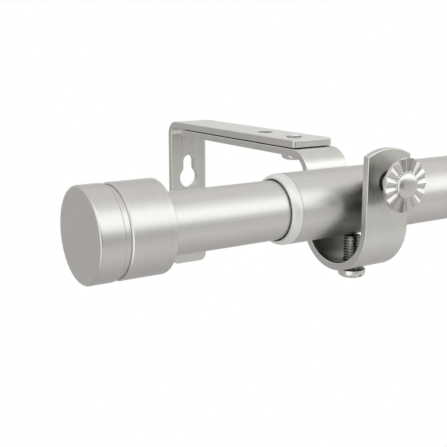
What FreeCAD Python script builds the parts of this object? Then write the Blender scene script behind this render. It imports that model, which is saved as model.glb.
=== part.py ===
import FreeCAD, Part
import math
import os
import Sketcher

# Extendable curtain rod: two telescoping tubes with turned end caps, carried by two
# wall brackets whose cradle arms slide out from the wall.
# Origin on the wall plane, midway between the brackets, level with the lower screw holes.
# X runs along the rod, Y points into the wall, Z is up. All sizes in millimetres.

SIZES = {
    "bracket_spacing": 584.0,
    "rod_drop": 15.5,
    "bracket_width": 14.5,
    "bracket_thickness": 2.3,
    "arm_width": 15.0,
    "arm_thickness": 2.1,
    "edge_round": 0.3,
    "cut_margin": 1.0,
    "plate_height": 53.7,
    "screw_hole_height": 11.2,
    "screw_hole_dia": 4.2,
    "keyhole_rise": 21.4,
    "keyhole_head_dia": 7.6,
    "keyhole_neck_width": 4.7,
    "keyhole_neck_rise": 6.0,
    "keyhole_shoulder_round": 2.0,
    "plate_corner_radius": 2.5,
    "top_leg_length": 74.4,
    "top_leg_corner_radius": 1.0,
    "wall_bend_radius": 2.6,
    "tapped_hole_setback": 9.1,
    "tapped_hole_spacing": 15.0,
    "tapped_hole_chamfer": 0.12,
    "arm_gap": 0.2,
    "arm_wall_gap": 8.5,
    "arm_bend_radius": 4.9,
    "arm_bend_gap": 0.025,
    "arm_travel": 38.0,
    "arm_slot_width": 5.4,
    "arm_slot_margin": 0.5,
    "cradle_radius": 11.4,
    "cradle_depth": 5.2,
    "front_leg_rise": 16.25,
    "front_leg_arch": 16.0,
    "rod_rest_gap": 0.05,
    "outer_tube_dia": 19.05,
    "outer_tube_wall": 0.8,
    "mouth_overhang": 23.7,
    "tail_overhang": 77.3,
    "inner_tube_dia": 15.88,
    "inner_tube_wall": 0.7,
    "exposed_length": 35.2,
    "closed_end_gap": 6.6,
    "seat_clearance": 0.05,
    "slide_clearance": 0.06,
    "collar_sleeve_length": 22.0,
    "collar_nose_length": 2.9,
    "collar_nose_dia": 17.5,
    "collar_nose_taper": 2.1,
    "collar_rim_dia": 19.1,
    "collar_lead_in": 0.3,
    "collar_lead_depth": 1.5,
    "glide_flange_length": 8.0,
    "glide_spigot_length": 12.0,
    "glide_bore_dia": 9.0,
    "cap_dia": 23.4,
    "cap_length": 19.7,
    "cap_wall": 1.2,
    "cap_face_thickness": 2.5,
    "cap_face_round": 0.6,
    "cap_rim_round": 0.4,
    "cap_groove_setback": 6.35,
    "cap_groove_width": 1.6,
    "cap_groove_depth": 0.6,
    "cap_groove_round": 0.3,
    "cap_groove_chamfer": 0.35,
    "cap_tube_gap": 0.5,
    "insert_length": 14.0,
    "insert_setback": 0.6,
    "screw_dia": 4.8,
    "thread_clearance": 0.05,
    "screw_tip_chamfer": 0.4,
    "pan_head_dia": 7.7,
    "pan_head_height": 2.2,
    "pan_head_round": 1.35,
    "driver_slot_width": 0.9,
    "driver_slot_depth": 1.1,
    "arm_screw_head_gap": 0.1,
    "arm_screw_end_rise": 0.4,
    "cradle_screw_length": 9.8,
    "screw_tip_gap": 0.1,
    "thumb_rise": 7.2,
    "thumb_standoff": 0.6,
    "thumb_hub_dia": 6.0,
    "thumb_hub_length": 3.8,
    "thumb_flare_length": 0.85,
    "thumb_rim_dia": 14.4,
    "thumb_rim_thickness": 1.3,
    "thumb_button_dia": 7.2,
    "thumb_button_rise": 1.2,
    "thumb_button_seat": 0.5,
    "flute_count": 15,
    "flute_depth": 0.6,
    "flute_overlap_angle": 0.3,
}

# How close two places count as one, and the smallest turn that makes an edge sharp

TINY = 0.01
SHARP = 0.2

os.makedirs("parts", exist_ok=True)
doc = FreeCAD.newDocument("curtain_rod")
sheet = doc.addObject("Spreadsheet::Sheet", "dims")
for row, (alias, size) in enumerate(SIZES.items(), start=1):
    sheet.set("A%d" % row, alias.replace("_", " "))
    sheet.set("B%d" % row, str(size))
    sheet.setAlias("B%d" % row, alias)
doc.recompute()


def dim(text):
    """Write every size name in a formula as a reference to its cell."""
    words = []
    for word in text.replace("(", " ( ").replace(")", " ) ").split():
        words.append("dims." + word if word in SIZES else word)
    return "(" + " ".join(words).replace("sqrt (", "sqrt(") + ")"


# Places that several pieces share, each worked out from the driving sizes

THROUGH = dim("2 * ( bracket_thickness + arm_thickness + cut_margin )")
PLATE_BOTTOM = dim("0 - screw_hole_height")
PLATE_TOP = dim("plate_height - screw_hole_height")
LEG_UNDER = dim("plate_height - screw_hole_height - bracket_thickness")
LEG_FRONT = dim("0 - top_leg_length")
FRONT_HOLE_Y = dim("tapped_hole_setback - top_leg_length")
REAR_HOLE_Y = dim("tapped_hole_setback - top_leg_length + tapped_hole_spacing")
TAPPED_RADIUS = dim("screw_dia / 2 + thread_clearance")
ARM_TOP = LEG_UNDER + " - dims.arm_gap"
ARM_UNDER = ARM_TOP + " - dims.arm_thickness"
REAR_LEG_Y = dim("0 - top_leg_length - arm_bend_gap - arm_bend_radius - arm_thickness")
ROD_Y = REAR_LEG_Y + " - dims.rod_rest_gap - dims.outer_tube_dia / 2"
ROD_Z = PLATE_TOP + " - dims.rod_drop"
CRADLE_Y = REAR_LEG_Y + " - dims.cradle_radius"
CRADLE_Z = ROD_Z + " - dims.cradle_depth"
FRONT_LEG_INNER_Y = CRADLE_Y + " - dims.cradle_radius"
FRONT_LEG_OUTER_Y = FRONT_LEG_INNER_Y + " - dims.arm_thickness"
THUMB_Z = ROD_Z + " + dims.thumb_rise"
MOUTH_X = dim("0 - bracket_spacing / 2 - mouth_overhang")
COLLAR_FRONT_X = MOUTH_X + " - dims.collar_nose_length"
LEFT_CAP_X = COLLAR_FRONT_X + " - dims.exposed_length - dims.cap_length"
CAP_POCKET = dim("cap_face_thickness + cap_tube_gap")
OUTER_TUBE_LENGTH = dim("mouth_overhang + bracket_spacing + tail_overhang")
RIGHT_CAP_X = MOUTH_X + " + " + OUTER_TUBE_LENGTH + " + " + CAP_POCKET
CLOSED_OVERLAP = dim("collar_nose_length + cap_length - glide_flange_length - closed_end_gap")
INNER_TUBE_LENGTH = OUTER_TUBE_LENGTH + " + " + CLOSED_OVERLAP + " - " + CAP_POCKET


def number(formula):
    """The present value of a formula."""
    return float(sheet.evalExpression(formula))


def new_body(label):
    body = doc.addObject("PartDesign::Body", label)
    body.Label = label
    return body


def place(body, x="0", y="0", z="0", turn=0.0):
    """Put a body at formulas for x, y and z, turned about Z by some degrees."""
    body.Placement = FreeCAD.Placement(
        FreeCAD.Vector(), FreeCAD.Rotation(FreeCAD.Vector(0, 0, 1), turn))
    for axis, formula in zip("xyz", (x, y, z)):
        body.setExpression("Placement.Base." + axis, formula)


def new_sketch(body, name, plane, offset=None):
    """A sketch on one of the body's own planes, moved along the plane's normal."""
    sketch = body.newObject("Sketcher::SketchObject", name)
    support = [o for o in body.Origin.OriginFeatures if o.Role == plane][0]
    sketch.AttachmentSupport = [(support, "")]
    sketch.MapMode = "FlatFace"
    if offset:
        sketch.setExpression("AttachmentOffset.Base.z", offset)
    return sketch


def bind(sketch, kind, formula, *where):
    """Add one dimension to a sketch and tie it to a formula."""
    index = sketch.addConstraint(Sketcher.Constraint(kind, *where, number(formula)))
    name = "size_%d" % index
    sketch.renameConstraint(index, name)
    sketch.setExpression("Constraints." + name, formula)


def outline(sketch, corners):
    """Draw a closed outline of lines and arcs through corners given as formulas.

    A corner is (u, v), reached by a line, or (u, v, centre u, centre v, turn), reached
    by an arc about that centre, turn being +1 anticlockwise and -1 clockwise.
    """
    points = [(number(c[0]), number(c[1])) for c in corners]
    pieces = []
    for k, corner in enumerate(corners):
        start = points[k - 1]
        end = points[k]
        if len(corner) == 2:
            line = Part.LineSegment(
                FreeCAD.Vector(start[0], start[1], 0), FreeCAD.Vector(end[0], end[1], 0))
            pieces.append((sketch.addGeometry(line, False), 1, 2))
            continue
        centre = (number(corner[2]), number(corner[3]))
        radius = math.dist(centre, end)
        first, last = (start, end) if corner[4] > 0 else (end, start)
        angles = [math.atan2(p[1] - centre[1], p[0] - centre[0]) for p in (first, last)]
        whole = Part.Circle(
            FreeCAD.Vector(centre[0], centre[1], 0), FreeCAD.Vector(0, 0, 1), radius)
        arc = Part.ArcOfCircle(whole, angles[0], angles[1])
        ends = (1, 2) if corner[4] > 0 else (2, 1)
        pieces.append((sketch.addGeometry(arc, False),) + ends)
    for k, corner in enumerate(corners):
        piece, begin, end = pieces[k]
        before = pieces[k - 1]
        sketch.addConstraint(Sketcher.Constraint("Coincident", before[0], before[2], piece, begin))
        bind(sketch, "DistanceX", corner[0], -1, 1, piece, end)
        bind(sketch, "DistanceY", corner[1], -1, 1, piece, end)
        if len(corner) > 2:
            chord_u = abs(points[k][0] - points[k - 1][0])
            chord_v = abs(points[k][1] - points[k - 1][1])
            if chord_v >= chord_u:
                bind(sketch, "DistanceX", corner[2], -1, 1, piece, 3)
            else:
                bind(sketch, "DistanceY", corner[3], -1, 1, piece, 3)


def circle(sketch, u, v, radius):
    round_line = Part.Circle(
        FreeCAD.Vector(number(u), number(v), 0), FreeCAD.Vector(0, 0, 1), number(radius))
    piece = sketch.addGeometry(round_line, False)
    bind(sketch, "DistanceX", u, -1, 1, piece, 3)
    bind(sketch, "DistanceY", v, -1, 1, piece, 3)
    bind(sketch, "Radius", radius, piece)


def pad(body, name, sketch, length):
    """Thicken a sketch equally to both sides of its plane."""
    feature = body.newObject("PartDesign::Pad", name)
    feature.Profile = sketch
    feature.SideType = "Symmetric"
    feature.setExpression("Length", length)
    doc.recompute()
    return feature


def pocket(body, name, sketch, depth):
    """Cut a sketch to both sides of its plane, by depth in all."""
    before = body.Shape.Volume
    feature = body.newObject("PartDesign::Pocket", name)
    feature.Profile = sketch
    feature.SideType = "Symmetric"
    feature.setExpression("Length", depth)
    doc.recompute()
    if body.Shape.Volume >= before:
        raise RuntimeError(body.Label + ": " + name + " cuts nothing")
    return feature


def revolve(body, name, sketch):
    """Turn a sketch a full circle about its own horizontal axis."""
    feature = body.newObject("PartDesign::Revolution", name)
    feature.Profile = sketch
    feature.ReferenceAxis = (sketch, ["H_Axis"])
    feature.Angle = 360.0
    doc.recompute()
    return feature


def edge_names(feature, wanted):
    """Names of the feature's edges that a test picks out."""
    edges = enumerate(feature.Shape.Edges, start=1)
    return ["Edge%d" % k for k, edge in edges if wanted(edge)]


def dress(body, kind, name, wanted, size):
    """Round (Fillet) or bevel (Chamfer) the edges of the last feature that a test picks."""
    base = body.Tip
    feature = body.newObject("PartDesign::" + kind, name)
    feature.Base = (base, edge_names(base, wanted))
    feature.setExpression("Radius" if kind == "Fillet" else "Size", size)
    doc.recompute()
    return feature


def is_sharp(shape):
    """A test for edges where two faces meet at more than a slight angle."""
    def wanted(edge):
        faces = shape.ancestorsOfType(edge, Part.Face)
        if len(faces) != 2:
            return False
        middle = edge.valueAt((edge.FirstParameter + edge.LastParameter) / 2)
        normals = []
        for face in faces:
            u, v = face.Surface.parameter(middle)
            normals.append(face.normalAt(u, v))
        return normals[0].getAngle(normals[1]) > SHARP
    return wanted


def round_sharp_edges(body, name):
    """Break every sharp edge of a sheared and bent strip."""
    dress(body, "Fillet", name, is_sharp(body.Tip.Shape), "dims.edge_round")


# Wall bracket: one strip bent to an L, with its keyhole and screw holes

def wall_bracket(label, x):
    body = new_body(label)
    outer = dim("wall_bend_radius + bracket_thickness")
    bend_z = PLATE_TOP + " - " + outer
    profile = new_sketch(body, "side", "YZ_Plane")
    outline(profile, [
        ("0", PLATE_BOTTOM),
        ("0", bend_z),
        ("0 - " + outer, PLATE_TOP, "0 - " + outer, bend_z, 1),
        (LEG_FRONT, PLATE_TOP),
        (LEG_FRONT, LEG_UNDER),
        ("0 - " + outer, LEG_UNDER),
        (dim("0 - bracket_thickness"), bend_z, "0 - " + outer, bend_z, -1),
        (dim("0 - bracket_thickness"), PLATE_BOTTOM),
    ])
    pad(body, "strip", profile, "dims.bracket_width")
    low = number(PLATE_BOTTOM) + TINY
    front = number(LEG_FRONT) + TINY
    dress(body, "Fillet", "plate_corners", lambda e: runs_along(e, 1) and lies(e, 2, high=low),
          "dims.plate_corner_radius")
    dress(body, "Fillet", "leg_corners", lambda e: runs_along(e, 2) and lies(e, 1, high=front),
          "dims.top_leg_corner_radius")
    round_sharp_edges(body, "broken_edges")
    key = new_sketch(body, "keyhole_shape", "XZ_Plane")
    neck = dim("keyhole_neck_width / 2")
    neck_z = dim("keyhole_rise + keyhole_neck_rise")
    half_chord = dim("sqrt ( ( keyhole_head_dia / 2 ) ^ 2 - ( keyhole_neck_width / 2 ) ^ 2 )")
    join_z = "dims.keyhole_rise + " + half_chord
    outline(key, [
        (neck, neck_z),
        ("0 - " + neck, neck_z, "0", neck_z, 1),
        ("0 - " + neck, join_z),
        (neck, join_z, "0", "dims.keyhole_rise", 1),
    ])
    pocket(body, "keyhole", key, THROUGH)
    shoulder = number(join_z)
    dress(body, "Fillet", "keyhole_shoulders",
          lambda e: runs_along(e, 1) and lies(e, 2, low=shoulder - TINY, high=shoulder + TINY),
          "dims.keyhole_shoulder_round")
    low_hole = new_sketch(body, "screw_hole_shape", "XZ_Plane")
    circle(low_hole, "0", "0", dim("screw_hole_dia / 2"))
    pocket(body, "screw_hole", low_hole, THROUGH)
    tapped = new_sketch(body, "tapped_hole_shape", "XY_Plane", LEG_UNDER)
    circle(tapped, "0", FRONT_HOLE_Y, TAPPED_RADIUS)
    circle(tapped, "0", REAR_HOLE_Y, TAPPED_RADIUS)
    pocket(body, "tapped_holes", tapped, THROUGH)
    top = number(PLATE_TOP) - TINY
    dress(body, "Chamfer", "hole_mouths",
          lambda e: is_round(e, number(TAPPED_RADIUS)) and lies(e, 2, low=top),
          "dims.tapped_hole_chamfer")
    place(body, x=x)
    return body


def runs_along(edge, axis):
    """True for a straight edge along axis 0, 1 or 2."""
    box = edge.BoundBox
    spans = [box.XLength, box.YLength, box.ZLength]
    across = [s for k, s in enumerate(spans) if k != axis]
    return max(across) < TINY < spans[axis]


def lies(edge, axis, low=-1e6, high=1e6):
    """True where the whole edge lies between low and high along an axis."""
    box = edge.BoundBox
    span = [(box.XMin, box.XMax), (box.YMin, box.YMax), (box.ZMin, box.ZMax)][axis]
    return span[0] >= low and span[1] <= high


def is_round(edge, radius):
    """True for a circular edge of a given radius."""
    return hasattr(edge.Curve, "Radius") and abs(edge.Curve.Radius - radius) < TINY


# Cradle arm: a slotted strip bent down behind the rod, round under it and up in front

def cradle_arm(label, x):
    body = new_body(label)
    outer = dim("arm_bend_radius + arm_thickness")
    bend_y = REAR_LEG_Y + " + " + outer
    bend_z = ARM_TOP + " - " + outer
    rear_back_y = REAR_LEG_Y + " + dims.arm_thickness"
    leg_top = ROD_Z + " + dims.front_leg_rise"
    arm_end = dim("0 - arm_wall_gap")
    profile = new_sketch(body, "side", "YZ_Plane")
    outline(profile, [
        (arm_end, ARM_TOP),
        (bend_y, ARM_TOP),
        (REAR_LEG_Y, bend_z, bend_y, bend_z, 1),
        (REAR_LEG_Y, CRADLE_Z),
        (FRONT_LEG_INNER_Y, CRADLE_Z, CRADLE_Y, CRADLE_Z, -1),
        (FRONT_LEG_INNER_Y, leg_top),
        (FRONT_LEG_OUTER_Y, leg_top),
        (FRONT_LEG_OUTER_Y, CRADLE_Z),
        (rear_back_y, CRADLE_Z, CRADLE_Y, CRADLE_Z, 1),
        (rear_back_y, bend_z),
        (bend_y, ARM_UNDER, bend_y, bend_z, -1),
        (arm_end, ARM_UNDER),
    ])
    pad(body, "strip", profile, "dims.arm_width")
    front_face = "0 - (" + FRONT_LEG_OUTER_Y + ")"
    arch = new_sketch(body, "arch_shape", "XZ_Plane", front_face)
    arch_z = leg_top + " - dims.front_leg_arch"
    half_arm = dim("arm_width / 2")
    shoulder = arch_z + " + " + dim("sqrt ( front_leg_arch ^ 2 - ( arm_width / 2 ) ^ 2 )")
    outline(arch, [
        (half_arm, leg_top + " + dims.cut_margin"),
        ("0 - " + half_arm, leg_top + " + dims.cut_margin"),
        ("0 - " + half_arm, shoulder),
        (half_arm, shoulder, "0", arch_z, -1),
    ])
    pocket(body, "arch", arch, THROUGH)
    arm_back = number(arm_end) - TINY
    dress(body, "Fillet", "arm_corners", lambda e: runs_along(e, 2) and lies(e, 1, low=arm_back),
          "dims.plate_corner_radius")
    round_sharp_edges(body, "broken_edges")
    slot = new_sketch(body, "slot_shape", "XY_Plane", ARM_UNDER)
    half_slot = dim("arm_slot_width / 2")
    slot_front = FRONT_HOLE_Y + " - dims.arm_slot_margin"
    slot_rear = FRONT_HOLE_Y + " + dims.arm_travel + dims.arm_slot_margin"
    outline(slot, [
        (half_slot, slot_rear),
        ("0 - " + half_slot, slot_rear, "0", slot_rear, 1),
        ("0 - " + half_slot, slot_front),
        (half_slot, slot_front, "0", slot_front, 1),
    ])
    pocket(body, "arm_slot", slot, THROUGH)
    thumb_hole = new_sketch(body, "thumb_hole_shape", "XZ_Plane", front_face)
    circle(thumb_hole, "0", THUMB_Z, TAPPED_RADIUS)
    pocket(body, "thumb_hole", thumb_hole, THROUGH)
    bottom = CRADLE_Z + " - dims.cradle_radius - dims.arm_thickness"
    lift_hole = new_sketch(body, "lift_hole_shape", "XY_Plane", bottom)
    circle(lift_hole, "0", CRADLE_Y, TAPPED_RADIUS)
    pocket(body, "lift_hole", lift_hole, THROUGH)
    place(body, x=x)
    return body


# Screws: each is drawn along its own axis, head first, and turned into place

def turned(body, corners):
    """Revolve a profile about the body's X axis."""
    sketch = new_sketch(body, "half_section", "XZ_Plane")
    outline(sketch, corners)
    return revolve(body, "turned_form", sketch)


def pan_screw(label, length):
    """A slotted pan-head screw: head below the origin plane, shank up to length."""
    body = new_body(label)
    head = dim("pan_head_dia / 2")
    face = dim("0 - pan_head_height")
    soft = dim("pan_head_height - pan_head_round")
    shank = dim("screw_dia / 2")
    turned(body, [
        (face, "0"),
        (length, "0"),
        (length, shank + " - dims.screw_tip_chamfer"),
        (length + " - dims.screw_tip_chamfer", shank),
        ("0", shank),
        ("0", head),
        ("0 - " + soft, head),
        (face, head + " - dims.pan_head_round", "0 - " + soft, head + " - dims.pan_head_round", 1),
    ])
    slot = new_sketch(body, "driver_slot_shape", "XZ_Plane")
    half = dim("driver_slot_width / 2")
    outline(slot, [
        (face + " - dims.cut_margin", "0 - " + half),
        (face + " + dims.driver_slot_depth", "0 - " + half),
        (face + " + dims.driver_slot_depth", half),
        (face + " - dims.cut_margin", half),
    ])
    pocket(body, "driver_slot", slot, dim("pan_head_dia * 2"))
    return body


def stand_up(body, x, y, z):
    """Place a body so that its own X axis points straight up."""
    body.Placement = FreeCAD.Placement(
        FreeCAD.Vector(), FreeCAD.Rotation(FreeCAD.Vector(0, 1, 0), -90))
    for axis, formula in zip("xyz", (x, y, z)):
        body.setExpression("Placement.Base." + axis, formula)


def arm_screw(label, x):
    strips = dim("arm_thickness + arm_gap + bracket_thickness")
    length = strips + " + dims.arm_screw_head_gap + dims.arm_screw_end_rise"
    body = pan_screw(label, length)
    stand_up(body, x, FRONT_HOLE_Y, ARM_UNDER + " - dims.arm_screw_head_gap")
    return body


def cradle_screw(label, x):
    body = pan_screw(label, "dims.cradle_screw_length")
    under_rod = ROD_Z + " - dims.outer_tube_dia / 2 - dims.screw_tip_gap"
    stand_up(body, x, CRADLE_Y, under_rod + " - dims.cradle_screw_length")
    return body


def thumb_screw(label, x):
    """A cast screw: pleated disc with a domed button, hub, and a shank that meets the rod."""
    body = new_body(label)
    shank = dim("screw_dia / 2")
    hub = dim("thumb_hub_dia / 2")
    rim = dim("thumb_rim_dia / 2")
    button = dim("thumb_button_dia / 2")
    hub_end = dim("0 - thumb_hub_length")
    rim_back = dim("0 - thumb_hub_length - thumb_flare_length")
    face = rim_back + " - dims.thumb_rim_thickness"
    reach = dim("sqrt ( ( outer_tube_dia / 2 ) ^ 2 - ( thumb_rise - screw_dia / 2 ) ^ 2 )")
    tip = ROD_Y + " - " + reach + " - dims.screw_tip_gap"
    seat = FRONT_LEG_OUTER_Y + " - dims.thumb_standoff"
    length = "(" + tip + " - (" + seat + "))"
    turned(body, [
        (face, "0"),
        (length, "0"),
        (length, shank + " - dims.screw_tip_chamfer"),
        (length + " - dims.screw_tip_chamfer", shank),
        ("0", shank),
        ("0", hub),
        (hub_end, hub),
        (rim_back, rim),
        (face, rim),
    ])
    flute(body, face, rim)
    cap = new_sketch(body, "button_shape", "XZ_Plane")
    crown = face + " - dims.thumb_button_rise"
    dome = "((" + button + ") ^ 2 + dims.thumb_button_rise ^ 2) / (2 * dims.thumb_button_rise)"
    outline(cap, [
        (face + " + dims.thumb_button_seat", "0"),
        (face + " + dims.thumb_button_seat", button),
        (face, button),
        (crown, "0", crown + " + " + dome, "0", 1),
    ])
    revolve(body, "button", cap)
    body.Placement = FreeCAD.Placement(
        FreeCAD.Vector(), FreeCAD.Rotation(FreeCAD.Vector(0, 0, 1), 90))
    for axis, formula in zip("xyz", (x, seat, THUMB_Z)):
        body.setExpression("Placement.Base." + axis, formula)
    return body


def flute(body, face, rim):
    """Cut one V-shaped flute into the flat face and repeat it round the axis.

    Its width and depth grow in step with the distance from the axis, so that its sides
    are flat and each ridge between two flutes stays in the face. The small overlap of
    neighbouring flutes makes the ridges sharp.
    """
    tool = body.newObject("PartDesign::SubtractiveLoft", "flute_tool")
    tool.Profile = flute_section(body, "inner_section", face, rim, dim("screw_dia / 4"))
    tool.Sections = [flute_section(body, "outer_section", face, rim, rim + " + dims.cut_margin")]
    tool.Ruled = True
    before = body.Shape.Volume
    doc.recompute()
    if body.Shape.Volume >= before:
        raise RuntimeError(body.Label + ": the flute cuts nothing")
    ring = body.newObject("PartDesign::PolarPattern", "flutes")
    ring.Originals = [tool]
    axis = [o for o in body.Origin.OriginFeatures if o.Role == "X_Axis"][0]
    ring.Axis = (axis, [""])
    ring.Angle = 360.0
    ring.setExpression("Occurrences", "dims.flute_count")
    body.Tip = ring
    doc.recompute()


def flute_section(body, name, face, rim, distance):
    """The flute's V at some distance from the axis, open well above the face."""
    sketch = new_sketch(body, name, "XZ_Plane", "0 - (" + distance + ")")
    depth = "(dims.flute_depth * (" + distance + ") / " + rim + ")"
    half_angle = "(180 / dims.flute_count + dims.flute_overlap_angle) * 1 deg"
    half = "((" + distance + ") * tan(" + half_angle + ") * (1 + dims.cut_margin / " + depth + "))"
    outline(sketch, [
        (face + " - dims.cut_margin", "0 - " + half),
        (face + " + " + depth, "0"),
        (face + " - dims.cut_margin", half),
    ])
    return sketch


# Tubes, and the plastic pieces that run between them

def tube(label, dia, wall, length, x):
    body = new_body(label)
    inner = "(" + dia + " / 2 - " + wall + ")"
    turned(body, [
        ("0", inner),
        (length, inner),
        (length, dia + " / 2"),
        ("0", dia + " / 2"),
    ])
    place(body, x, ROD_Y, ROD_Z)
    return body


def tube_collar(label):
    """Plastic bush in the outer tube's mouth, with a long gently rounded nose outside it."""
    body = new_body(label)
    bore = dim("inner_tube_dia / 2 + slide_clearance")
    sleeve = dim("outer_tube_dia / 2 - outer_tube_wall - seat_clearance")
    nose = dim("0 - collar_nose_length")
    rim = dim("collar_rim_dia / 2")
    tip = dim("collar_nose_dia / 2")
    shoulder = dim("collar_nose_taper - collar_nose_length")
    drop = dim("collar_rim_dia / 2 - collar_nose_dia / 2")
    soft = "(dims.collar_nose_taper ^ 2 + " + drop + " ^ 2) / (2 * " + drop + ")"
    turned(body, [
        (nose, bore + " + dims.collar_lead_in"),
        (dim("collar_lead_depth - collar_nose_length"), bore),
        ("dims.collar_sleeve_length", bore),
        ("dims.collar_sleeve_length", sleeve),
        ("0", sleeve),
        ("0", rim),
        (shoulder, rim),
        (nose, tip, shoulder, rim + " - " + soft, 1),
    ])
    place(body, MOUTH_X, ROD_Y, ROD_Z)
    return body


def inner_glide(label):
    """Plastic plug pressed into the hidden end of the inner tube."""
    body = new_body(label)
    bore = dim("glide_bore_dia / 2")
    flange = dim("outer_tube_dia / 2 - outer_tube_wall - slide_clearance")
    spigot = dim("inner_tube_dia / 2 - inner_tube_wall - seat_clearance")
    back = dim("0 - glide_spigot_length")
    turned(body, [
        (back, bore),
        ("dims.glide_flange_length", bore),
        ("dims.glide_flange_length", flange),
        ("dims.seat_clearance", flange),
        ("dims.seat_clearance", spigot),
        (back, spigot),
    ])
    end = LEFT_CAP_X + " + " + CAP_POCKET + " + " + INNER_TUBE_LENGTH
    place(body, end, ROD_Y, ROD_Z)
    return body


def end_cap(label, x, turn):
    """Turned cup with a flat face at its origin and one shallow groove."""
    body = new_body(label)
    rim = dim("cap_dia / 2")
    inside = dim("cap_dia / 2 - cap_wall")
    floor = dim("cap_dia / 2 - cap_groove_depth")
    groove = "dims.cap_groove_setback"
    groove_end = dim("cap_groove_setback + cap_groove_width")
    soft = "dims.cap_face_round"
    back = "dims.cap_rim_round"
    lip = "dims.cap_groove_round"
    turned(body, [
        ("0", "0"),
        ("dims.cap_face_thickness", "0"),
        ("dims.cap_face_thickness", inside),
        ("dims.cap_length", inside),
        ("dims.cap_length", rim + " - " + back),
        ("dims.cap_length - " + back, rim, "dims.cap_length - " + back, rim + " - " + back, 1),
        (groove_end + " + dims.cap_groove_chamfer", rim),
        (groove_end, rim + " - dims.cap_groove_chamfer"),
        (groove_end, floor),
        (groove, floor),
        (groove, rim + " - " + lip),
        (groove + " - " + lip, rim, groove + " - " + lip, rim + " - " + lip, 1),
        (soft, rim),
        ("0", rim + " - " + soft, soft, rim + " - " + soft, 1),
    ])
    place(body, x, ROD_Y, ROD_Z, turn)
    return body


def cap_insert(label, tube_dia, x, turn):
    """Plastic sleeve between a tube's end and the inside of its cap."""
    body = new_body(label)
    bore = "(" + tube_dia + " / 2 + dims.seat_clearance)"
    skin = dim("cap_dia / 2 - cap_wall - seat_clearance")
    back = dim("cap_length - insert_setback")
    front = dim("cap_length - insert_setback - insert_length")
    turned(body, [
        (front, bore),
        (back, bore),
        (back, skin),
        (front, skin),
    ])
    place(body, x, ROD_Y, ROD_Z, turn)
    return body


# The assembly: one bracket group near each end, then the rod's own pieces

bodies = []
for side, sign in (("left", "0 - "), ("right", "")):
    middle = sign + "dims.bracket_spacing / 2"
    bodies.append(wall_bracket(side + "_wall_bracket", middle))
    bodies.append(cradle_arm(side + "_cradle_arm", middle))
    bodies.append(arm_screw(side + "_arm_screw", middle))
    bodies.append(cradle_screw(side + "_cradle_screw", middle))
    bodies.append(thumb_screw(side + "_thumb_screw", middle))
bodies.append(tube("outer_tube", "dims.outer_tube_dia", "dims.outer_tube_wall",
                   OUTER_TUBE_LENGTH, MOUTH_X))
bodies.append(tube("inner_tube", "dims.inner_tube_dia", "dims.inner_tube_wall",
                   INNER_TUBE_LENGTH, LEFT_CAP_X + " + " + CAP_POCKET))
bodies.append(tube_collar("tube_collar"))
bodies.append(inner_glide("inner_glide"))
bodies.append(end_cap("left_end_cap", LEFT_CAP_X, 0))
bodies.append(end_cap("right_end_cap", RIGHT_CAP_X, 180))
bodies.append(cap_insert("left_cap_insert", "dims.inner_tube_dia", LEFT_CAP_X, 0))
bodies.append(cap_insert("right_cap_insert", "dims.outer_tube_dia", RIGHT_CAP_X, 180))
doc.recompute()

for item in doc.Objects:
    if "Invalid" in item.State or "Error" in item.State:
        raise RuntimeError("failed: " + item.Name + " in " + item.Label)
for body in bodies:
    if body.Shape.isNull() or not body.Shape.isValid() or len(body.Shape.Solids) != 1:
        raise RuntimeError("bad shape: " + body.Label)
for body in bodies:
    body.Shape.exportStep("parts/" + body.Label + ".step")
    box = body.Shape.BoundBox
    print("%-20s volume %9.1f  x %7.2f %7.2f  y %7.2f %7.2f  z %6.2f %6.2f" % (
        body.Label, body.Shape.Volume, box.XMin, box.XMax, box.YMin, box.YMax, box.ZMin, box.ZMax))
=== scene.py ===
import math

import bmesh
import bpy
import numpy as np
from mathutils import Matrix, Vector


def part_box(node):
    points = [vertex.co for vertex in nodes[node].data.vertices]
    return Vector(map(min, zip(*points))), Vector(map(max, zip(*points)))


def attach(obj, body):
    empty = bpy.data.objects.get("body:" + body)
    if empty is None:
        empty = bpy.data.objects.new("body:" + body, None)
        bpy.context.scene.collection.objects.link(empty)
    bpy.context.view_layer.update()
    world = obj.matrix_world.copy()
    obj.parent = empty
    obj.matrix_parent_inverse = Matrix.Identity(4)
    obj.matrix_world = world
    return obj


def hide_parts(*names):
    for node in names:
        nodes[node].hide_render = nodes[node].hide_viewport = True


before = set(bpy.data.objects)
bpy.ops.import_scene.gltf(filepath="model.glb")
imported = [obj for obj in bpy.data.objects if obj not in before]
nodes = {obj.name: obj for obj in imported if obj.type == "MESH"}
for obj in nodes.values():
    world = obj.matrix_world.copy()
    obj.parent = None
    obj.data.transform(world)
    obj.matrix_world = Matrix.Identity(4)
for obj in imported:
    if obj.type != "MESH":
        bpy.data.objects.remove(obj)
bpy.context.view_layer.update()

# Wall brackets: one nickel-plated steel strip each, pierced with a keyhole and three
# round holes and bent to an L. The two holes in the top leg are tapped for the arm's
# screw: the front one holds it, and the rear one is empty and shows its thread.

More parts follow.
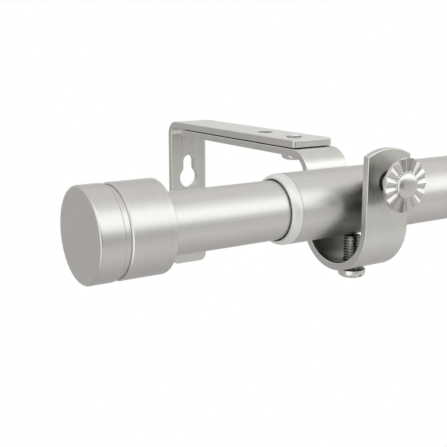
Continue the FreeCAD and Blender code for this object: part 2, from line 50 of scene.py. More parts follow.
SIDES = ("left", "right")
MM = 0.001
FULL_TURN = 2 * math.pi
STRIP_COLOUR = (0.612, 0.609, 0.576)
STRIP_STRETCH = (1.0, 0.08, 0.08)
CUT_EDGE_SQUARE = (0.90, 0.99)
BRACKET_THICKNESS = 2.3 * MM
REAR_HOLE_SETBACK = 24.1 * MM
HOLE_RADIUS = 2.45 * MM
HOLE_CREST_RADIUS = 2.02 * MM
HOLE_MOUTH = 0.12 * MM
HOLE_FOOT = 0.05 * MM
HOLE_EMBED = 0.05 * MM
HOLE_ROWS = 34
# A dark colour for the rear hole's thread, which is painted shade inside the hole.
HOLE_THREAD_SHADE_COLOUR = (0.27, 0.26, 0.245)
THREAD_PITCH = 0.794 * MM
THREAD_FLAT = 0.18
THREAD_RUN_OUT = 0.35
THREAD_COLUMNS = 48
EVEN_STRETCH = (1.0, 1.0, 1.0)
NOISE_RANGE = (0.36, 0.64)
TONE_SPREAD = 0.036
# Painted shade in recesses and corners: how far the ambient occlusion reaches, its samples, and
# the share of open sky at which the shade starts.
HOLLOW_REACH = 16 * MM
HOLLOW_SAMPLES = 12
OPEN_SHARE = 0.72
MERGE_DISTANCE = 1e-7
SHARP_EDGE = math.radians(34)


def feed(tree, socket, value):
    """Link another node's socket to this one, or give this one a plain value."""
    if isinstance(value, bpy.types.NodeSocket):
        tree.links.new(value, socket)
    else:
        socket.default_value = value


def add_node(tree, kind, settings=None, **inputs):
    """Add a shader node with its settings, and with its inputs by name."""
    node = tree.nodes.new("ShaderNode" + kind)
    for name, value in (settings or {}).items():
        setattr(node, name, value)
    for name, value in inputs.items():
        feed(tree, node.inputs[name.replace("_", " ")], value)
    return node


def maths(tree, operation, *values):
    """The result of a Math node on sockets or plain numbers."""
    node = add_node(tree, "Math", {"operation": operation})
    for socket, value in zip(node.inputs, values):
        feed(tree, socket, value)
    return node.outputs[0]


def ramp(tree, value, low, high, easing="LINEAR"):
    """A mask that goes from 0 to 1 as a value goes from low to high."""
    node = add_node(tree, "MapRange", {"interpolation_type": easing},
                    Value=value, From_Min=low, From_Max=high)
    return node.outputs["Result"]


def mixed(tree, share, first, second, blend="MIX"):
    """The first colour with a share of the second mixed in, or multiplied with it."""
    node = add_node(tree, "Mix", {"data_type": "RGBA", "blend_type": blend})
    sockets = {socket.identifier: socket for socket in (*node.inputs, *node.outputs)}
    feed(tree, sockets["Factor_Float"], share)
    feed(tree, sockets["A_Color"], first)
    feed(tree, sockets["B_Color"], second)
    return sockets["Result_Color"]


def new_group(name, inputs, outputs):
    """A node group with named sockets, what it is given, and what it puts out."""
    group = bpy.data.node_groups.new(name, "ShaderNodeTree")
    for way, sockets in (("INPUT", inputs), ("OUTPUT", outputs)):
        for socket, kind in sockets.items():
            group.interface.new_socket(socket, in_out=way, socket_type="NodeSocket" + kind)
    given = group.nodes.new("NodeGroupInput").outputs
    result = group.nodes.new("NodeGroupOutput").inputs
    return group, given, result


def fine_grain_group():
    """A fine and a broad noise, put out as a tone from 0 to 1 and a height.

    The tone is their mean, spread so that it uses the whole way from 0 to 1. The height
    is the fine noise alone.
    """
    group, given, result = new_group("fine_grain",
                                     {"Vector": "Vector", "Fine": "Float", "Broad": "Float"},
                                     {"Tone": "Float", "Height": "Float"})
    fine = add_node(group, "TexNoise", Vector=given["Vector"], Scale=given["Fine"], Detail=4.0)
    broad = add_node(group, "TexNoise", Vector=given["Vector"], Scale=given["Broad"], Detail=2.0)
    total = maths(group, "ADD", fine.outputs["Fac"], broad.outputs["Fac"])
    tone = ramp(group, maths(group, "MULTIPLY", total, 0.5), *NOISE_RANGE)
    feed(group, result["Tone"], tone)
    feed(group, result["Height"], fine.outputs["Fac"])
    return group


def hollow_shade_group():
    """A mask of painted shade from ambient occlusion: it eases from 0 in the open to 1 in a
    closed corner, within a reach.
    """
    group, given, result = new_group("hollow_shade", {"Reach": "Float"}, {"Mask": "Float"})
    sky = add_node(group, "AmbientOcclusion", {"samples": HOLLOW_SAMPLES},
                   Distance=given["Reach"])
    feed(group, result["Mask"], ramp(group, sky.outputs["AO"], OPEN_SHARE, 0.0, "SMOOTHSTEP"))
    return group


def shade_group():
    """A colour that falls to a share of itself, its tone, as a mask goes from 0 to 1."""
    group, given, result = new_group("shade",
                                     {"Colour": "Color", "Mask": "Float", "Tone": "Float"},
                                     {"Colour": "Color"})
    share = add_node(group, "MapRange", Value=given["Mask"], To_Min=1.0, To_Max=given["Tone"])
    shaded = mixed(group, 1.0, given["Colour"], share.outputs["Result"], "MULTIPLY")
    feed(group, result["Colour"], shaded)
    return group


fine_grain = fine_grain_group()
hollow_shade = hollow_shade_group()
shade = shade_group()


def shaded(tree, colour, mask, tone):
    """A colour put through the shade group."""
    node = add_node(tree, "Group", {"node_tree": shade}, Colour=colour, Mask=mask, Tone=tone)
    return node.outputs["Colour"]


def drawn(stretch):
    """Gives a function that puts a grain's coordinates, object coordinates, into a tree.

    They are multiplied by the three shares of stretch, so that the grain runs along the
    axes whose shares are small.
    """
    def coordinates(tree):
        place = add_node(tree, "TexCoord").outputs["Object"]
        return add_node(tree, "Mapping", Vector=place, Scale=stretch).outputs["Vector"]

    return coordinates


def grained(name, colour, tones, coordinates, fine, broad, roughness, relief):
    """A material whose tone, roughness and height vary with the fine grain.

    tones are the lowest and highest share of the colour, coordinates is a function that
    puts the grain's coordinates into a tree, as drawn gives, fine and broad are the
    grain's two scales a metre, roughness is its lowest and highest value, and relief is
    the grain's height in metres. It gives the material, its tree, its shader's inputs,
    and the colour, which isn't joined to the shader yet.
    """
    material = bpy.data.materials.new(name)
    material.use_nodes = True
    tree = material.node_tree
    inputs = tree.nodes["Principled BSDF"].inputs
    grain = add_node(tree, "Group", {"node_tree": fine_grain},
                     Vector=coordinates(tree), Fine=fine, Broad=broad).outputs
    dark, light = [tuple(share * part for part in colour) + (1.0,) for share in tones]
    rough = add_node(tree, "MapRange", Value=grain["Tone"],
                     To_Min=roughness[0], To_Max=roughness[1])
    feed(tree, inputs["Roughness"], rough.outputs["Result"])
    bump = add_node(tree, "Bump", Height=grain["Height"], Distance=relief)
    feed(tree, inputs["Normal"], bump.outputs["Normal"])
    return material, tree, inputs, mixed(tree, grain["Tone"], dark, light)


def plated(name, colour, coordinates, hollow_shade_tone=0.45, edge_tone=1.0, painted_shade_tone=1.0, **grain):
    """A plated metal, with the fine grain of its brushing or drawing.

    The tones are the shares of the colour that are left in recesses and corners, as painted
    shade, on faces square to X, which are a strip's cut edges, and where a point's painted shade
    is 1, which stands for the shade at the bottom of a thread's or a pleat's grooves, on a
    screw's bare neck and under its head.
    """
    tones = (1 - TONE_SPREAD, 1 + TONE_SPREAD)
    material, tree, inputs, finish = grained(name, colour, tones, coordinates, **grain)
    # Painted shade: the colour darkens in recesses and corners, by ambient occlusion.
    painted_hollow = add_node(tree, "Group", {"node_tree": hollow_shade}, Reach=HOLLOW_REACH)
    finish = shaded(tree, finish, painted_hollow.outputs["Mask"], hollow_shade_tone)
    if edge_tone < 1.0:
        facing = add_node(tree, "TexCoord").outputs["Normal"]
        sideways = add_node(tree, "SeparateXYZ", Vector=facing).outputs["X"]
        square = ramp(tree, maths(tree, "ABSOLUTE", sideways), *CUT_EDGE_SQUARE)
        finish = shaded(tree, finish, square, edge_tone)
    # Painted shade from each point's attribute: thread roots, pleat valleys, screw necks and the
    # seats under screw heads.
    if painted_shade_tone < 1.0:
        painted_shade = add_node(tree, "Attribute", {"attribute_name": "painted_shade"}).outputs["Fac"]
        finish = shaded(tree, finish, painted_shade, painted_shade_tone)
    feed(tree, inputs["Base Color"], finish)
    inputs["Metallic"].default_value = 1.0
    return material


def paint(node_name, material):
    """Give a piece that keeps its solid's mesh its finish."""
    for place in nodes[node_name].material_slots:
        place.material = material


def grid_faces(rows, columns, closed=True):
    """Quads of a grid of points, which is closed round its columns or open."""
    steps = np.arange(columns if closed else columns - 1)
    row, column = np.meshgrid(np.arange(rows - 1), steps, indexing="ij")
    here = row * columns + column
    beside = row * columns + (column + 1) % columns
    return np.stack([here, beside, beside + columns, here + columns], axis=-1).reshape(-1, 4)


def finish_piece(name, shell, body, material, replaced=()):
    """Make one object of a shell, its points, faces and each point's painted shade, on a body."""
    points, faces, painted_shade = shell
    mesh = bpy.data.meshes.new(name)
    mesh.from_pydata(points.reshape(-1, 3).tolist(), [], faces.tolist())
    mesh.attributes.new("painted_shade", "FLOAT", "POINT").data.foreach_set("value", painted_shade.ravel())
    work = bmesh.new()
    work.from_mesh(mesh)
    bmesh.ops.remove_doubles(work, verts=work.verts, dist=MERGE_DISTANCE)
    bmesh.ops.recalc_face_normals(work, faces=work.faces)
    work.to_mesh(mesh)
    work.free()
    mesh.shade_smooth()
    mesh.set_sharp_from_angle(angle=SHARP_EDGE)
    mesh.materials.append(material)
    piece = bpy.data.objects.new(name, mesh)
    bpy.context.scene.collection.objects.link(piece)
    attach(piece, body)
    if replaced:
        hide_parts(*replaced)


def thread_wave(angle, along):
    """How far a thread stands out, from 0 at its root to 1 at its crest.

    The way along the axis, counted in pitches, less the share of a turn gives a phase,
    and a triangle wave of that phase is cut off to a flat crest and a flat root.
    """
    phase = np.mod(along / THREAD_PITCH - angle / FULL_TURN, 1.0)
    triangle = 1.0 - np.abs(2.0 * phase - 1.0)
    return np.clip((triangle - THREAD_FLAT) / (1.0 - 2.0 * THREAD_FLAT), 0.0, 1.0)


def hole_thread(centre_x, centre_y, bottom, top):
    """A thread cut in an upright hole, as a ring-shaped shell that is closed both ways.

    Going up the rows, the radius is the hole's less the thread's wave, which runs out
    at both ends. The first and last rows lie a little outside the hole's wall and meet
    there, so that the shell has no gap. The roots and the wall rows carry painted shade,
    and the crests none.
    """
    angle = np.linspace(0, FULL_TURN, THREAD_COLUMNS, endpoint=False)[None, :]
    height = np.linspace(bottom, top, HOLE_ROWS)[:, None]
    from_end = np.minimum(height - bottom, top - height)
    crest = thread_wave(angle, height) * np.clip(from_end / (THREAD_RUN_OUT * THREAD_PITCH), 0, 1)
    radius = HOLE_RADIUS - (HOLE_RADIUS - HOLE_CREST_RADIUS) * crest
    wall = np.full((1, angle.size), HOLE_RADIUS + HOLE_EMBED)
    root = np.ones((1, angle.size))
    radius = np.vstack([wall, radius, wall, wall])
    painted_shade = np.vstack([root, 1.0 - crest, root, root])
    height = np.vstack([height[:1], height, height[-1:], height[:1]])
    height = np.broadcast_to(height, radius.shape)
    x = centre_x + radius * np.cos(angle)
    y = centre_y + radius * np.sin(angle)
    return np.stack([x, y, height], axis=-1), grid_faces(*radius.shape), painted_shade


# The strip's colour is darkened in recesses and corners as painted shade.
nickel_strip = plated("satin_nickel_strip", STRIP_COLOUR, drawn(STRIP_STRETCH), hollow_shade_tone=0.36,
                      edge_tone=0.9, fine=2600.0, broad=420.0, roughness=(0.26, 0.32),
                      relief=0.6e-6)
# A dark colour, darker still at the thread's roots, for the rear hole's thread: painted shade
# inside the hole, not a colour of the steel.
painted_shade_thread = plated("painted_shade_thread", HOLE_THREAD_SHADE_COLOUR, drawn(EVEN_STRETCH), painted_shade_tone=0.5,
                    fine=3800.0, broad=900.0, roughness=(0.26, 0.34), relief=1.0e-6)
for side in SIDES:
    paint(side + "_wall_bracket", nickel_strip)
    low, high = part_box(side + "_wall_bracket")
    thread = hole_thread((low.x + high.x) / 2, low.y + REAR_HOLE_SETBACK,
                         high.z - BRACKET_THICKNESS + HOLE_FOOT, high.z - HOLE_MOUTH)
    finish_piece(side + "_rear_hole_thread", thread, "wall_brackets", painted_shade_thread)

# Cradle arms: a second strip of the same plated steel under each top leg, slotted for
# its screw, bent down behind the rod, round under it and up in front. They slide out
# from the wall with the rod.

for side in SIDES:
    paint(side + "_cradle_arm", nickel_strip)

# Arm screws: bright slotted pan-head machine screws, rolled thread, put up through the
# arm's slot into the top leg's front tapped hole, where they clamp the arm.

SCREW_COLOUR = (0.62, 0.61, 0.585)
SCREW_RADIUS = 2.4 * MM
THREAD_DEPTH = 0.46 * MM
NECK_LENGTH = 0.35 * MM
NECK_RADIUS = 2.2 * MM
TIP_CHAMFER = 0.25 * MM
TIP_BEARING = math.radians(237)
ROWS_A_PITCH = 12
SHANK_SINK = 0.2 * MM
ROOT_SHADE = 0.45
HEAD_RADIUS = 3.85 * MM
HEAD_HEIGHT = 2.2 * MM
HEAD_ROUND = 1.35 * MM
HEAD_STEPS = 41
SLOT_WIDTH = 0.9 * MM
SLOT_DEPTH = 1.1 * MM
SLOT_CLEARANCE = 1.15
SEAT_STEPS = (-1.0, -0.85, -0.5, 0.0, 0.5, 0.85, 1.0)
# The share of the head's radius over which the seat's painted shade grows from its rim.
SEAT_SHADE_EDGE = 0.15


def joined(shells):
    """One shell of several: one array each of their points, faces and depths."""
    points = [shell[0].reshape(-1, 3) for shell in shells]
    starts = np.cumsum([0] + [len(part) for part in points[:-1]])
    faces = [shell[1] + start for shell, start in zip(shells, starts)]
    painted_shades = [shell[2].ravel() for shell in shells]
    return np.vstack(points), np.vstack(faces), np.concatenate(painted_shades)


def threaded_shank(length):
    """A screw's shank along +X from its head at x = 0, with its helical thread.

    The radius is the crest's, less the thread's full height times how far down its groove
    a point lies. After a short bare neck the thread grows over one pitch, and the chamfer
    at the tip cuts it off. Both ends close to a point. The thread is turned so that a crest
    is at TIP_BEARING halfway up the chamfer. Each point carries painted shade: the bare neck
    is wholly shaded, standing for the head's shade, and the thread's root gets ROOT_SHADE
    of that, standing for the shade in the groove.
    """
    angle = np.linspace(0, FULL_TURN, THREAD_COLUMNS, endpoint=False)[None, :]
    along = np.linspace(0, length, int(length / THREAD_PITCH * ROWS_A_PITCH) + 2)[:, None]
    grown = np.clip((along - NECK_LENGTH) / THREAD_PITCH, 0, 1)
    from_tip_crest = along - (length - TIP_CHAMFER / 2) + THREAD_PITCH / 2
    groove = 1.0 - thread_wave(angle - TIP_BEARING, from_tip_crest)
    radius = NECK_RADIUS + (SCREW_RADIUS - THREAD_DEPTH * groove - NECK_RADIUS) * grown
    radius = np.minimum(radius, SCREW_RADIUS - TIP_CHAMFER + (length - along))
    painted_shade = ROOT_SHADE * groove * grown + 1.0 - grown
    closed = np.zeros((1, angle.size))
    radius = np.vstack([closed, radius[:1], radius, closed])
    painted_shade = np.vstack([closed, painted_shade[:1], painted_shade, closed])
    along = np.vstack([along[:1] - SHANK_SINK, along[:1] - SHANK_SINK, along, along[-1:]])
    along = np.broadcast_to(along, radius.shape)
    points = np.stack([along, radius * np.cos(angle), radius * np.sin(angle)], axis=-1)
    return points, grid_faces(*radius.shape), painted_shade


def pan_head():
    """A slotted pan head below x = 0, its slot running along Z.

    Each row is the cut of the turned head by a plane at one distance from the slot's
    middle: the distance along the row is half its chord times a sine, and the height
    follows the head's flat face and round. Rows inside the slot keep to its floor. The
    flat seat has the same rows, and its painted shade grows from its rim inwards, standing
    for the shade under the head.
    """
    half_slot = SLOT_WIDTH / 2
    sine = np.sin(np.linspace(-math.pi / 2, math.pi / 2, HEAD_STEPS))
    across = HEAD_RADIUS * sine
    left = across[across < -SLOT_CLEARANCE * half_slot]
    middle = np.array([-half_slot, -half_slot, 0.0, half_slot, half_slot])
    on_floor = np.array([False, True, True, True, False])
    across = np.concatenate([left, middle, -left[::-1]])[:, None]
    sunk = np.pad(on_floor, left.size)[:, None]
    chord = np.sqrt(np.maximum(HEAD_RADIUS ** 2 - across ** 2, 0.0))
    along = chord * sine[None, :]
    beyond = np.maximum(np.hypot(across, along) - (HEAD_RADIUS - HEAD_ROUND), 0.0)
    fall = HEAD_ROUND - np.sqrt(np.maximum(HEAD_ROUND ** 2 - beyond ** 2, 0.0))
    height = np.where(sunk, SLOT_DEPTH - HEAD_HEIGHT, fall - HEAD_HEIGHT)
    rim = np.zeros(across.shape)
    height = np.hstack([rim, height, rim])
    along = np.hstack([-chord, along, chord])
    top = np.stack([height, np.broadcast_to(across, along.shape), along], axis=-1)
    along = chord * np.array(SEAT_STEPS)[None, :]
    seat = np.stack([np.zeros(along.shape), np.broadcast_to(across, along.shape), along], axis=-1)
    painted_shade = np.clip((1.0 - np.hypot(across, along) / HEAD_RADIUS) / SEAT_SHADE_EDGE, 0.0, 1.0)
    return joined([(top, grid_faces(*top.shape[:2], closed=False), np.zeros(top.shape[:2])),
                   (seat, grid_faces(*seat.shape[:2], closed=False), painted_shade)])


def pan_screw(name):
    """A whole pan-head screw stood upright in the place of its solid, on its own body."""
    low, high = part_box(name)
    seat = low.z + HEAD_HEIGHT
    points, faces, painted_shade = joined([pan_head(), threaded_shank(high.z - seat)])
    along, across, slot = points[:, 0], points[:, 1], points[:, 2]
    x = (low.x + high.x) / 2 + across
    y = (low.y + high.y) / 2 + slot
    shell = (np.stack([x, y, seat + along], axis=-1), faces, painted_shade)
    finish_piece(name + "_turned", shell, name, bright_plate, (name,))


# The pan screws are darkened as painted shade in recesses, at the thread's roots, on the bare
# neck and on the seat under the head.
bright_plate = plated("bright_plate", SCREW_COLOUR, drawn(EVEN_STRETCH), hollow_shade_tone=0.7,
                      painted_shade_tone=0.25, fine=3800.0, broad=900.0, roughness=(0.14, 0.20),
                      relief=1.5e-6)
for side in SIDES:
    pan_screw(side + "_arm_screw")

# Cradle screws: the same bright pan-head screw, longer, driven up through the bottom of
# each cradle until it reaches the rod.

for side in SIDES:
    pan_screw(side + "_cradle_screw")

# Outer tube: welded and drawn steel tube, satin nickel plated, clamped in both cradles.
# The faint lines of its drawing run along it.

TUBE_COLOUR = (0.600, 0.592, 0.566)
TUBE_STRETCH = (0.02, 1.0, 1.0)

# The tube's colour is darkened in recesses and corners as painted shade.
nickel_tube = plated("satin_nickel_tube", TUBE_COLOUR, drawn(TUBE_STRETCH),
                     fine=1700.0, broad=330.0, roughness=(0.345, 0.395), relief=0.4e-6)
paint("outer_tube", nickel_tube)

# Tube collar: a moulded bush of pale translucent plastic pressed into the outer tube's
# mouth, with a rounded nose that the inner tube slides through.

COLLAR_COLOUR = (0.63, 0.645, 0.61)
PLASTIC_TONES = (0.975, 1.02)
LIGHT_REACH = 1.5 * MM
LIGHT_REACH_BY_COLOUR = (1.0, 1.0, 0.8)
# The width and tone of a thin line of painted shade round the collar where it meets the tube.
JOINT_SHADE_WIDTH = 0.35 * MM
JOINT_SHADE_TONE = 0.55
low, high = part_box("outer_tube")
ROD_Y = (low.y + high.y) / 2
ROD_Z = (low.z + high.z) / 2


def moulded(name, colour, coordinates, roughness, softness, gloss, pearl=0.0, joint_shade_x=None):
    """A moulded plastic: a faint grain in its tone, a sheen, and light let in a little.

    softness is how much light goes in, gloss is the sheen's strength, and pearl is how
    much of the surface reflects as metal does. The last argument is the X at which the
    piece meets the next one, where a thin line round it is darkened as painted shade.
    """
    material, tree, inputs, finish = grained(name, colour, PLASTIC_TONES, coordinates,
                                             fine=1800.0, broad=260.0, roughness=roughness,
                                             relief=4.0e-6)
    # Painted shade: a thin dark line round the piece where it meets the next one.
    if joint_shade_x is not None:
        place = add_node(tree, "TexCoord").outputs["Object"]
        x = add_node(tree, "SeparateXYZ", Vector=place).outputs["X"]
        line = ramp(tree, x, joint_shade_x - JOINT_SHADE_WIDTH, joint_shade_x - JOINT_SHADE_WIDTH / 2)
        finish = shaded(tree, finish, line, JOINT_SHADE_TONE)
    feed(tree, inputs["Base Color"], finish)
    inputs["Specular IOR Level"].default_value = gloss
    inputs["Metallic"].default_value = pearl
    inputs["Subsurface Weight"].default_value = softness
    inputs["Subsurface Radius"].default_value = LIGHT_REACH_BY_COLOUR
    inputs["Subsurface Scale"].default_value = LIGHT_REACH
    return material


def round_rod_group():
    """Coordinates along the rod and away from its axis, the same all round it.

    The second is the root of the sum of the squares of how far a point is from the
    axis in Y and in Z.
    """
    group, given, result = new_group("round_rod", {"Place": "Vector"}, {"Vector": "Vector"})
    parts = add_node(group, "SeparateXYZ", Vector=given["Place"]).outputs
    off_y = maths(group, "POWER", maths(group, "SUBTRACT", parts["Y"], ROD_Y), 2.0)
    off_z = maths(group, "POWER", maths(group, "SUBTRACT", parts["Z"], ROD_Z), 2.0)
    radius = maths(group, "SQRT", maths(group, "ADD", off_y, off_z))
    turned_place = add_node(group, "CombineXYZ", X=parts["X"], Y=radius)
    feed(group, result["Vector"], turned_place.outputs["Vector"])
    return group


round_rod = round_rod_group()


def turned(tree):
    """Object coordinates put through the group round_rod, for a grain that runs round."""
    place = add_node(tree, "TexCoord").outputs["Object"]
    return add_node(tree, "Group", {"node_tree": round_rod}, Place=place).outputs["Vector"]


# The collar gets a thin line of painted shade where it meets the tube's mouth.
collar_plastic = moulded("collar_plastic", COLLAR_COLOUR, turned, roughness=(0.30, 0.36),
                         softness=0.08, gloss=1.0, pearl=0.32, joint_shade_x=low.x)
paint("tube_collar", collar_plastic)

# Inner tube: the thinner tube, drawn and plated like the outer one, which slides out of
# the collar.

paint("inner_tube", nickel_tube)

# Inner glide and cap inserts: plain moulded plastic. The glide is a plug in the inner
# tube's hidden end that centres it in the outer tube, and each insert is a sleeve
# between a tube's end and its cap.

HIDDEN_COLOUR = (0.78, 0.78, 0.76)

hidden_plastic = moulded("hidden_plastic", HIDDEN_COLOUR, drawn(EVEN_STRETCH),
                         roughness=(0.46, 0.54), softness=0.0, gloss=0.5)
for name in ("inner_glide", "left_cap_insert", "right_cap_insert"):
    paint(name, hidden_plastic)

# End caps: cups turned from bar, with a shallow groove round them, plated satin nickel.
# The turning lines run round the wall and in circles on the face.

CAP_COLOUR = (0.578, 0.570, 0.545)

# The caps' colour is darkened in recesses and corners as painted shade.
nickel_cap = plated("turned_nickel_cap", CAP_COLOUR, turned,
                    fine=2600.0, broad=420.0, roughness=(0.31, 0.35), relief=0.5e-6)
for side in SIDES:
    paint(side + "_end_cap", nickel_cap)

# Thumb screws: cast zinc, polished and plated. A pleated disc with a smooth domed
# button stands on a short hub, and the threaded shank goes through the cradle's front
# leg to the rod.

CAST_COLOUR = (0.585, 0.575, 0.555)
HUB_RADIUS = 3.0 * MM
HUB_LENGTH = 3.8 * MM
FLARE_LENGTH = 0.85 * MM
FLARE_STEPS = 6
RIM_RADIUS = 7.2 * MM
RIM_THICKNESS = 1.3 * MM
RIM_EDGE = 0.12 * MM
SPOKE_STEPS = 12
PLEATS = 15
PLEAT_DEPTH = 0.6 * MM
PLEAT_COLUMNS = 12
RIDGE_ROUND = 0.45
VALLEY_SHADE = 0.35
BUTTON_RADIUS = 3.6 * MM
BUTTON_RISE = 1.2 * MM
BUTTON_STEPS = 24
BUTTON_CROWN = 0.58
CROWN_POWER = 2.5
PLATEAU_POWER = 16
BUTTON_FOOT = 0.12 * MM
FOOT_CREASE = 0.3
FOOT_PLEATED = 0.7


def pleat_wave(angle):
    """How deep the pleats lie, 0 on a ridge and 1 in a valley, one ridge on +X.

    A triangle wave of the angle, with a little of a cosine wave to round its corners.
    """
    phase = np.mod(angle * PLEATS / FULL_TURN, 1.0)
    triangle = 1.0 - np.abs(2.0 * phase - 1.0)
    cosine = 0.5 - 0.5 * np.cos(FULL_TURN * phase)
    return triangle + RIDGE_ROUND * (cosine - triangle)


def profile_rows(along, radius, pleated):
    """Rows of a profile: places along the axis, radii, and how much the pleats count."""
    return np.stack(np.broadcast_arrays(along, radius, pleated), axis=-1)


def thumb_head():
    """A thumb screw's head, its hub at x = 0 and its button furthest along -X.

    A profile of places along the axis and radii is turned round the axis: the hub, the
    flare, the rim, the pleated face and the button. On the face, the pleats' wave is
    taken off in step with the radius. The button's height is the sum of two parts of
    its rise: a low crown, 1 less a low power of the share of its radius, and a plateau
    with a round edge, the root of 1 less a high power. The painted shade that darkens a
    pleat's valley, standing for the shade in it, goes with the cube of its wave.
    """
    back = HUB_LENGTH + FLARE_LENGTH
    face = back + RIM_THICKNESS
    flare = np.linspace(0, 1, FLARE_STEPS, endpoint=False)
    spokes = np.linspace(RIM_RADIUS - RIM_EDGE, BUTTON_RADIUS + BUTTON_FOOT, SPOKE_STEPS)
    crease = FOOT_CREASE * BUTTON_FOOT
    share = np.sin(np.linspace(math.pi / 2, 0, BUTTON_STEPS))
    crown = BUTTON_CROWN * (1 - share ** CROWN_POWER)
    plateau = (1 - BUTTON_CROWN) * (1 - share ** PLATEAU_POWER) ** 0.5
    profile = np.vstack([
        profile_rows([0.0, 0.0, RIM_EDGE], [0.0, HUB_RADIUS - RIM_EDGE, HUB_RADIUS], 0.0),
        profile_rows(HUB_LENGTH + FLARE_LENGTH * flare,
                     HUB_RADIUS + (RIM_RADIUS - HUB_RADIUS) * flare, 0.0),
        profile_rows([back, back + RIM_EDGE], [RIM_RADIUS - RIM_EDGE, RIM_RADIUS], 0.0),
        profile_rows(face - RIM_EDGE, RIM_RADIUS, 1.0),
        profile_rows(face, spokes, 1.0),
        profile_rows(face + crease, BUTTON_RADIUS + crease, FOOT_PLEATED),
        profile_rows(face + BUTTON_RISE * (crown + plateau), BUTTON_RADIUS * share, 0.0),
    ])
    along, radius, pleated = profile[:, :1], profile[:, 1:2], profile[:, 2:]
    angle = np.linspace(0, FULL_TURN, PLEATS * PLEAT_COLUMNS, endpoint=False)[None, :]
    valley = pleated * pleat_wave(angle)
    sunk = PLEAT_DEPTH * radius / RIM_RADIUS * valley
    points = np.stack([sunk - along, radius * np.cos(angle), radius * np.sin(angle)], axis=-1)
    return points, grid_faces(*valley.shape), VALLEY_SHADE * valley ** 3


def thumb_screw(name):
    """A whole thumb screw in the place of its solid, its axis along Y, on its own body."""
    low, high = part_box(name)
    centre_x = (low.x + high.x) / 2
    centre_z = (low.z + high.z) / 2
    seat = low.y + BUTTON_RISE + RIM_THICKNESS + FLARE_LENGTH + HUB_LENGTH
    points, faces, painted_shade = joined([thumb_head(), threaded_shank(high.y - seat)])
    along, x, z = points[:, 0], points[:, 1], points[:, 2]
    shell = (np.stack([centre_x + x, seat + along, centre_z + z], axis=-1), faces, painted_shade)
    finish_piece(name + "_cast", shell, name, cast_plate, (name,))


# The thumb screws are darkened as painted shade in recesses, at the thread's roots, on the bare
# neck and in the pleats' valleys.
cast_plate = plated("polished_cast_plate", CAST_COLOUR, drawn(EVEN_STRETCH), hollow_shade_tone=0.75,
                    painted_shade_tone=0.4, fine=2600.0, broad=600.0, roughness=(0.20, 0.26),
                    relief=2.5e-6)
for side in SIDES:
    thumb_screw(side + "_thumb_screw")

# Studio: a white floor far below the rod, a dome of light that the metal reflects, and
# the camera at the photograph's place. The dome has a long bright band in front and
# above, a bright panel at the left and a dark zone low in front.

FLOOR_HEIGHT = -0.5
FLOOR_HALF = 4.0
FLOOR_COLOUR = (0.8, 0.8, 0.79, 1.0)
WHITE = (1.0, 1.0, 1.0, 1.0)
CAMERA_PLACE = (-0.445104, -0.262426, 0.070293)
CAMERA_TILT = math.radians(77.56)
CAMERA_TURN = math.radians(-32.91)
CAMERA_LENS = 66.17
CAMERA_NEAREST = 0.01

# The dome's level by the angle round the rod, in degrees: straight ahead is 0, straight
# up is 90 and towards the wall is 180. It rises again just above level at the wall.
DOME = (
    (-180, 0.62), (-165, 0.60), (-115, 0.585), (-82, 0.73), (-50, 0.88), (-32, 0.88),
    (-14, 0.73), (2, 0.63), (10, 1.76), (46, 1.76), (58, 1.12), (74, 0.96), (88, 0.89),
    (104, 0.95), (120, 0.91), (136, 0.76), (158, 0.72), (169, 1.10), (180, 1.20),
)
DOME_PEAK = 2.0

# The share of green and of blue to red where the dome is at its peak, and how much of
# that share is lost where it is dark.
GREEN_SHARE = (1.02, 0.064)
BLUE_SHARE = (1.03, 0.085)

# Places on the dome are parts of the unit direction: X to the right, Z up and ahead of
# the rod. The tilt of the band is in radians for each 1 of X.
BAND_TILT = 0.39
BAND_LEVEL_AT = 0.72
FRONT_EDGE = 0.1
PANEL_LEVEL = 1.45
PANEL_INNER = -0.55
PANEL_OUTER = -0.64
DARK_LEVEL = 0.28
DARK_X = -0.02
DARK_Z = -0.08
DARK_HALF_WIDTH = 0.36
DARK_HALF_HEIGHT = 0.18
DARK_EDGE = 0.11


def dome_colour(level):
    """A level as red, green and blue shares of the peak, warmer where it is darker."""
    red = level / DOME_PEAK
    shares = [share - lost * (1.0 - red) for share, lost in (GREEN_SHARE, BLUE_SHARE)]
    return red, red * shares[0], red * shares[1], 1.0


def either(tree, mask, first, second):
    """The first shader where a mask is 0, and the second where it is 1."""
    node = add_node(tree, "MixShader", Fac=mask)
    feed(tree, node.inputs[1], first.outputs[0])
    feed(tree, node.inputs[2], second.outputs[0])
    return node


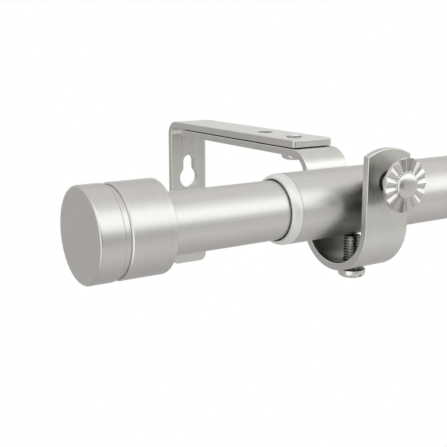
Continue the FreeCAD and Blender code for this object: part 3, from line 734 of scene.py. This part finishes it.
def light_dome():
    """Light that depends only on its direction, and is plain white to the camera.

    Its level follows the direction's angle round the rod plus a tilt, which goes with
    the direction's X less the X at which the band is level. The panel is where X is far
    to the left and the direction points ahead. The dark zone is a soft-edged rectangle:
    two masks, one of the distance from its middle along X and one along Z, multiplied.
    """
    world = bpy.data.worlds.new("light_dome")
    bpy.context.scene.world = world
    world.use_nodes = True
    tree = world.node_tree
    tree.nodes.clear()
    direction = add_node(tree, "TexCoord").outputs["Generated"]
    parts = add_node(tree, "SeparateXYZ", Vector=direction).outputs
    ahead = maths(tree, "MULTIPLY", parts["Y"], -1.0)
    off_level = maths(tree, "SUBTRACT", parts["X"], BAND_LEVEL_AT)
    angle = maths(tree, "ADD", maths(tree, "ARCTAN2", parts["Z"], ahead),
                  maths(tree, "MULTIPLY", off_level, BAND_TILT))
    bands = add_node(tree, "ValToRGB", Fac=ramp(tree, angle, -math.pi, math.pi))
    stops = bands.color_ramp.elements
    for _ in range(len(DOME) - len(stops)):
        stops.new(0.5)
    for stop, (degrees, level) in zip(stops, DOME):
        stop.position = (degrees + 180) / 360
        stop.color = dome_colour(level)
    in_front = ramp(tree, ahead, 0.0, FRONT_EDGE, "SMOOTHSTEP")
    at_left = ramp(tree, parts["X"], PANEL_INNER, PANEL_OUTER, "SMOOTHSTEP")
    panel = maths(tree, "MULTIPLY", at_left, in_front)
    light = mixed(tree, panel, bands.outputs["Color"], (PANEL_LEVEL / DOME_PEAK,) * 3 + (1.0,))
    dark = in_front
    for part, middle, half in (("X", DARK_X, DARK_HALF_WIDTH), ("Z", DARK_Z, DARK_HALF_HEIGHT)):
        distance = maths(tree, "ABSOLUTE", maths(tree, "SUBTRACT", parts[part], middle))
        inside = ramp(tree, distance, half + DARK_EDGE, half - DARK_EDGE, "SMOOTHSTEP")
        dark = maths(tree, "MULTIPLY", dark, inside)
    light = mixed(tree, dark, light, (DARK_LEVEL / DOME_PEAK,) * 3 + (1.0,))
    dome = add_node(tree, "Background", Color=light, Strength=DOME_PEAK)
    white = add_node(tree, "Background", Color=WHITE, Strength=1.0)
    seen = add_node(tree, "LightPath").outputs["Is Camera Ray"]
    add_node(tree, "OutputWorld", Surface=either(tree, seen, dome, white).outputs[0])


def floor_material():
    """White where the camera sees it, pale to other light, and open from below.

    It is open to glossy light too, so that metal reflects the dome and not the floor.
    """
    material = bpy.data.materials.new("white_floor")
    material.use_nodes = True
    tree = material.node_tree
    tree.nodes.clear()
    path = add_node(tree, "LightPath").outputs
    below = add_node(tree, "NewGeometry").outputs["Backfacing"]
    pale = add_node(tree, "BsdfDiffuse", Color=FLOOR_COLOUR)
    white = add_node(tree, "Emission", Color=WHITE, Strength=1.0)
    clear = add_node(tree, "BsdfTransparent")
    lit = either(tree, path["Is Camera Ray"], pale, white)
    surface = either(tree, maths(tree, "MAXIMUM", path["Is Glossy Ray"], below), lit, clear)
    add_node(tree, "OutputMaterial", Surface=surface.outputs[0])
    return material


def floor():
    """A level square far below the rod, its one face upwards."""
    mesh = bpy.data.meshes.new("floor")
    corners = FLOOR_HALF * np.array([(-1, -1), (1, -1), (1, 1), (-1, 1)])
    points = np.column_stack([corners, np.full(len(corners), FLOOR_HEIGHT)])
    mesh.from_pydata(points.tolist(), [], [(0, 1, 2, 3)])
    mesh.materials.append(floor_material())
    sheet = bpy.data.objects.new("floor", mesh)
    bpy.context.scene.collection.objects.link(sheet)


light_dome()
floor()
camera = bpy.data.objects.new("camera", bpy.data.cameras.new("camera"))
bpy.context.scene.collection.objects.link(camera)
camera.location = CAMERA_PLACE
camera.rotation_euler = (CAMERA_TILT, 0.0, CAMERA_TURN)
camera.data.lens = CAMERA_LENS
camera.data.clip_start = CAMERA_NEAREST
bpy.context.scene.camera = camera
bpy.context.scene.view_settings.view_transform = "Standard"
